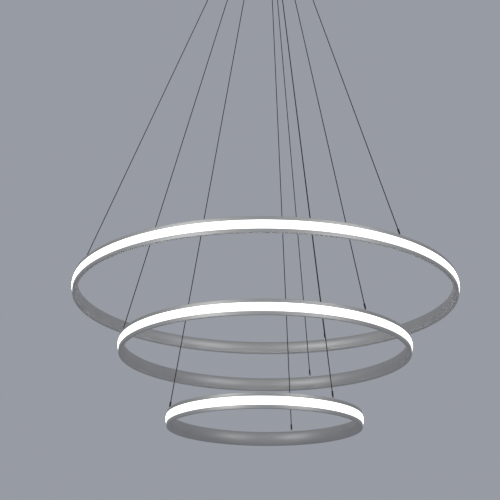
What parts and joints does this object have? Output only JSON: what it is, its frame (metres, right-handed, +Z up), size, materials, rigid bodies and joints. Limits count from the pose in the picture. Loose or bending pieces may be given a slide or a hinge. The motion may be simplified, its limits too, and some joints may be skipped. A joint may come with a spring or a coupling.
{
  "type": "led ring chandelier",
  "caption": "Tiered ring chandelier: hanging aluminium rings with outward-facing lit opal diffusers on steel cables from a round canopy.",
  "frame": {"origin": "middle of the mounting plate's upper face, on the ceiling", "axes": "+Z up out of the ceiling face; -Y towards the pictured side; +X to the right there"},
  "size_m": [0.7998, 0.7998, 1.201],
  "materials": {
    "ring_aluminium": "satin silver-grey paint on aluminium",
    "lit_opal": "opal diffuser, lit white",
    "circuit_board": "white flexible circuit board",
    "nickel": "satin nickel plate",
    "dark_steel": "blackened crimped steel",
    "steel_cable": "fine stranded steel cable in a clear jacket",
    "spring_steel": "drawn wire",
    "lead_insulation": "smooth insulation",
    "zinc_plate": "zinc-plated sheet steel",
    "black_rubber": "moulded rubber",
    "canopy_paint": "satin silver-grey paint",
    "driver_case": "fine-textured moulding",
    "terminal_nylon": "natural nylon",
    "brass_screw": "turned brass"
  },
  "bodies": {
    "canopy": {"mounting_plate": "zinc_plate", "cable_grommet": "black_rubber", "canopy_cover": "canopy_paint", "cover_screws": "nickel", "grip_barrels": "nickel", "grip_nuts": "nickel", "cable_tails": "steel_cable", "led_driver": "driver_case", "driver_screws": "zinc_plate", "mains_terminal": "terminal_nylon", "terminal_screws": "brass_screw", "earth_screw": "brass_screw", "mains_leads": "lead_insulation", "output_terminal": "terminal_nylon", "output_leads": "lead_insulation", "upper_cable_1": "steel_cable", "upper_cable_2": "steel_cable", "upper_cable_3": "steel_cable", "upper_grip_spring_1": "spring_steel", "upper_grip_spring_2": "spring_steel", "upper_grip_spring_3": "spring_steel", "middle_cable_1": "steel_cable", "middle_cable_2": "steel_cable", "middle_cable_3": "steel_cable", "middle_grip_spring_1": "spring_steel", "middle_grip_spring_2": "spring_steel", "middle_grip_spring_3": "spring_steel", "lower_cable_1": "steel_cable", "lower_cable_2": "steel_cable", "lower_cable_3": "steel_cable", "lower_grip_spring_1": "spring_steel", "lower_grip_spring_2": "spring_steel", "lower_grip_spring_3": "spring_steel"},
    "upper_ring": {"upper_channel": "ring_aluminium", "upper_diffuser": "lit_opal", "upper_led_strip": "circuit_board", "upper_terminals": "nickel", "upper_cable_ends": "dark_steel", "upper_feed_leads": "lead_insulation"},
    "middle_ring": {"middle_channel": "ring_aluminium", "middle_diffuser": "lit_opal", "middle_led_strip": "circuit_board", "middle_terminals": "nickel", "middle_cable_ends": "dark_steel", "middle_feed_leads": "lead_insulation"},
    "lower_ring": {"lower_channel": "ring_aluminium", "lower_diffuser": "lit_opal", "lower_led_strip": "circuit_board", "lower_terminals": "nickel", "lower_cable_ends": "dark_steel", "lower_feed_leads": "lead_insulation"},
    "upper_plunger_1": {"upper_grip_plunger_1": "nickel"},
    "upper_plunger_2": {"upper_grip_plunger_2": "nickel"},
    "upper_plunger_3": {"upper_grip_plunger_3": "nickel"},
    "middle_plunger_1": {"middle_grip_plunger_1": "nickel"},
    "middle_plunger_2": {"middle_grip_plunger_2": "nickel"},
    "middle_plunger_3": {"middle_grip_plunger_3": "nickel"},
    "lower_plunger_1": {"lower_grip_plunger_1": "nickel"},
    "lower_plunger_2": {"lower_grip_plunger_2": "nickel"},
    "lower_plunger_3": {"lower_grip_plunger_3": "nickel"}
  },
  "joints": [
    {"name": "upper_ring_height", "type": "slide", "parent": "canopy", "child": "upper_ring", "axis": [0, 0, 1], "range_m": [0, 0.4], "deforming": ["upper_cable_1", "upper_cable_2", "upper_cable_3"]},
    {"name": "middle_ring_height", "type": "slide", "parent": "canopy", "child": "middle_ring", "axis": [0, 0, 1], "range_m": [0, 0.3], "deforming": ["middle_cable_1", "middle_cable_2", "middle_cable_3"]},
    {"name": "lower_ring_height", "type": "slide", "parent": "canopy", "child": "lower_ring", "axis": [0, 0, 1], "range_m": [0, 0.4], "deforming": ["lower_cable_1", "lower_cable_2", "lower_cable_3"]},
    {"name": "upper_release_1", "type": "slide", "parent": "canopy", "child": "upper_plunger_1", "axis": [0, 0, 1], "range_m": [0, 0.0025], "stiffness_N_per_m": 600, "springref_m": -0.004, "deforming": ["upper_grip_spring_1"]},
    {"name": "upper_release_2", "type": "slide", "parent": "canopy", "child": "upper_plunger_2", "axis": [0, 0, 1], "range_m": [0, 0.0025], "stiffness_N_per_m": 600, "springref_m": -0.004, "deforming": ["upper_grip_spring_2"]},
    {"name": "upper_release_3", "type": "slide", "parent": "canopy", "child": "upper_plunger_3", "axis": [0, 0, 1], "range_m": [0, 0.0025], "stiffness_N_per_m": 600, "springref_m": -0.004, "deforming": ["upper_grip_spring_3"]},
    {"name": "middle_release_1", "type": "slide", "parent": "canopy", "child": "middle_plunger_1", "axis": [0, 0, 1], "range_m": [0, 0.0025], "stiffness_N_per_m": 600, "springref_m": -0.004, "deforming": ["middle_grip_spring_1"]},
    {"name": "middle_release_2", "type": "slide", "parent": "canopy", "child": "middle_plunger_2", "axis": [0, 0, 1], "range_m": [0, 0.0025], "stiffness_N_per_m": 600, "springref_m": -0.004, "deforming": ["middle_grip_spring_2"]},
    {"name": "middle_release_3", "type": "slide", "parent": "canopy", "child": "middle_plunger_3", "axis": [0, 0, 1], "range_m": [0, 0.0025], "stiffness_N_per_m": 600, "springref_m": -0.004, "deforming": ["middle_grip_spring_3"]},
    {"name": "lower_release_1", "type": "slide", "parent": "canopy", "child": "lower_plunger_1", "axis": [0, 0, 1], "range_m": [0, 0.0025], "stiffness_N_per_m": 600, "springref_m": -0.004, "deforming": ["lower_grip_spring_1"]},
    {"name": "lower_release_2", "type": "slide", "parent": "canopy", "child": "lower_plunger_2", "axis": [0, 0, 1], "range_m": [0, 0.0025], "stiffness_N_per_m": 600, "springref_m": -0.004, "deforming": ["lower_grip_spring_2"]},
    {"name": "lower_release_3", "type": "slide", "parent": "canopy", "child": "lower_plunger_3", "axis": [0, 0, 1], "range_m": [0, 0.0025], "stiffness_N_per_m": 600, "springref_m": -0.004, "deforming": ["lower_grip_spring_3"]}
  ]
}
